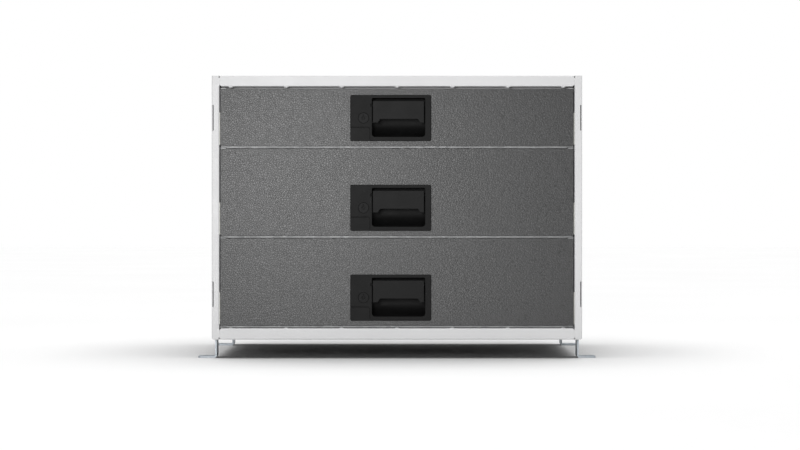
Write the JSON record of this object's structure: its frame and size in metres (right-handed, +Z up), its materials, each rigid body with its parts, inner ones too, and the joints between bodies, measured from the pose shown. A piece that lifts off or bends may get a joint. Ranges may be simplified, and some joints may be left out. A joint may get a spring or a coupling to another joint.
{
  "type": "racking drawer cabinet",
  "caption": "Sheet-metal drawer cabinet for vehicle or workshop racking, with full-width drawers on ball slides, recessed paddle latches, key locks and bolt-down angle feet.",
  "frame": {"origin": "centre of the bounding box's footprint, on the floor under the feet", "axes": "+X to the right seen from the front, drawers open towards -Y, +Z up"},
  "size_m": [0.549, 0.38, 0.388],
  "materials": {
    "frame_paint": "satin light grey powder coat",
    "zinc_steel": "zinc plated",
    "slide_steel": "clear zinc on rolled steel",
    "tray_steel": "galvanised sheet",
    "textured_front": "dark grey fine leather-grain coat",
    "black_plastic": "satin black",
    "paddle_plastic": "satin black",
    "lock_metal": "black oxide",
    "spring_steel": "oiled spring wire"
  },
  "bodies": {
    "cabinet": {"side_panel_left": "frame_paint", "side_panel_right": "frame_paint", "top_panel": "frame_paint", "bottom_panel": "frame_paint", "rear_panel": "frame_paint", "striker_rail_upper": "tray_steel", "striker_rail_lower": "tray_steel", "striker_rail_bottom": "tray_steel", "foot_front_left": "zinc_steel", "foot_front_right": "zinc_steel", "foot_rear_left": "zinc_steel", "foot_rear_right": "zinc_steel", "frame_screws": "zinc_steel", "rear_rivets": "zinc_steel", "slide_screws": "zinc_steel", "slide_outer_1": "slide_steel", "slide_outer_2": "slide_steel", "slide_outer_3": "slide_steel"},
    "drawer_1": {"drawer_tray_1": "tray_steel", "drawer_front_1": "textured_front", "slide_inner_1": "slide_steel", "handle_housing_1": "black_plastic", "handle_screws_1": "zinc_steel", "screw_cover_1": "black_plastic", "paddle_spring_1": "spring_steel", "lock_barrel_1": "lock_metal"},
    "slide_mid_1": {"slide_mid_1": "slide_steel"},
    "paddle_1": {"handle_paddle_1": "paddle_plastic", "paddle_pin_1": "lock_metal"},
    "latch_1": {"latch_bolt_1": "zinc_steel"},
    "lock_1": {"lock_plug_1": "lock_metal", "lock_cam_1": "zinc_steel"},
    "drawer_2": {"drawer_tray_2": "tray_steel", "drawer_front_2": "textured_front", "slide_inner_2": "slide_steel", "handle_housing_2": "black_plastic", "handle_screws_2": "zinc_steel", "screw_cover_2": "black_plastic", "paddle_spring_2": "spring_steel", "lock_barrel_2": "lock_metal"},
    "slide_mid_2": {"slide_mid_2": "slide_steel"},
    "paddle_2": {"handle_paddle_2": "paddle_plastic", "paddle_pin_2": "lock_metal"},
    "latch_2": {"latch_bolt_2": "zinc_steel"},
    "lock_2": {"lock_plug_2": "lock_metal", "lock_cam_2": "zinc_steel"},
    "drawer_3": {"drawer_tray_3": "tray_steel", "drawer_front_3": "textured_front", "slide_inner_3": "slide_steel", "handle_housing_3": "black_plastic", "handle_screws_3": "zinc_steel", "screw_cover_3": "black_plastic", "paddle_spring_3": "spring_steel", "lock_barrel_3": "lock_metal"},
    "slide_mid_3": {"slide_mid_3": "slide_steel"},
    "paddle_3": {"handle_paddle_3": "paddle_plastic", "paddle_pin_3": "lock_metal"},
    "latch_3": {"latch_bolt_3": "zinc_steel"},
    "lock_3": {"lock_plug_3": "lock_metal", "lock_cam_3": "zinc_steel"}
  },
  "joints": [
    {"name": "drawer_slide_1", "type": "slide", "parent": "cabinet", "child": "drawer_1", "axis": [0, -1, 0], "range_m": [0, 0.33]},
    {"name": "slide_mid_travel_1", "type": "slide", "parent": "cabinet", "child": "slide_mid_1", "axis": [0, -1, 0], "range_m": [0, 0.166]},
    {"name": "handle_pull_1", "type": "hinge", "parent": "drawer_1", "child": "paddle_1", "pos_m": [0, -0.181, 0.34755], "axis": [-1, 0, 0], "range_deg": [0, 30], "stiffness_Nm_per_rad": 0.2, "springref_deg": -17.19},
    {"name": "latch_lift_1", "type": "slide", "parent": "drawer_1", "child": "latch_1", "axis": [0, 0, 1], "range_m": [0, 0.006]},
    {"name": "lock_turn_1", "type": "hinge", "parent": "drawer_1", "child": "lock_1", "pos_m": [-0.0458, -0.165, 0.32985], "axis": [0, -1, 0], "range_deg": [0, 90]},
    {"name": "drawer_slide_2", "type": "slide", "parent": "cabinet", "child": "drawer_2", "axis": [0, -1, 0], "range_m": [0, 0.33]},
    {"name": "slide_mid_travel_2", "type": "slide", "parent": "cabinet", "child": "slide_mid_2", "axis": [0, -1, 0], "range_m": [0, 0.166]},
    {"name": "handle_pull_2", "type": "hinge", "parent": "drawer_2", "child": "paddle_2", "pos_m": [0, -0.181, 0.2244], "axis": [-1, 0, 0], "range_deg": [0, 30], "stiffness_Nm_per_rad": 0.2, "springref_deg": -17.19},
    {"name": "latch_lift_2", "type": "slide", "parent": "drawer_2", "child": "latch_2", "axis": [0, 0, 1], "range_m": [0, 0.006]},
    {"name": "lock_turn_2", "type": "hinge", "parent": "drawer_2", "child": "lock_2", "pos_m": [-0.0458, -0.165, 0.2067], "axis": [0, -1, 0], "range_deg": [0, 90]},
    {"name": "drawer_slide_3", "type": "slide", "parent": "cabinet", "child": "drawer_3", "axis": [0, -1, 0], "range_m": [0, 0.33]},
    {"name": "slide_mid_travel_3", "type": "slide", "parent": "cabinet", "child": "slide_mid_3", "axis": [0, -1, 0], "range_m": [0, 0.166]},
    {"name": "handle_pull_3", "type": "hinge", "parent": "drawer_3", "child": "paddle_3", "pos_m": [0, -0.181, 0.10125], "axis": [-1, 0, 0], "range_deg": [0, 30], "stiffness_Nm_per_rad": 0.2, "springref_deg": -17.19},
    {"name": "latch_lift_3", "type": "slide", "parent": "drawer_3", "child": "latch_3", "axis": [0, 0, 1], "range_m": [0, 0.006]},
    {"name": "lock_turn_3", "type": "hinge", "parent": "drawer_3", "child": "lock_3", "pos_m": [-0.0458, -0.165, 0.08355], "axis": [0, -1, 0], "range_deg": [0, 90]}
  ],
  "couplings": [
    {"joint": "slide_mid_travel_1", "follows": "drawer_slide_1", "ratio": 0.5},
    {"joint": "handle_pull_1", "follows": "latch_lift_1", "rad_per_m": 87.2},
    {"joint": "slide_mid_travel_2", "follows": "drawer_slide_2", "ratio": 0.5},
    {"joint": "handle_pull_2", "follows": "latch_lift_2", "rad_per_m": 87.2},
    {"joint": "slide_mid_travel_3", "follows": "drawer_slide_3", "ratio": 0.5},
    {"joint": "handle_pull_3", "follows": "latch_lift_3", "rad_per_m": 87.2}
  ]
}
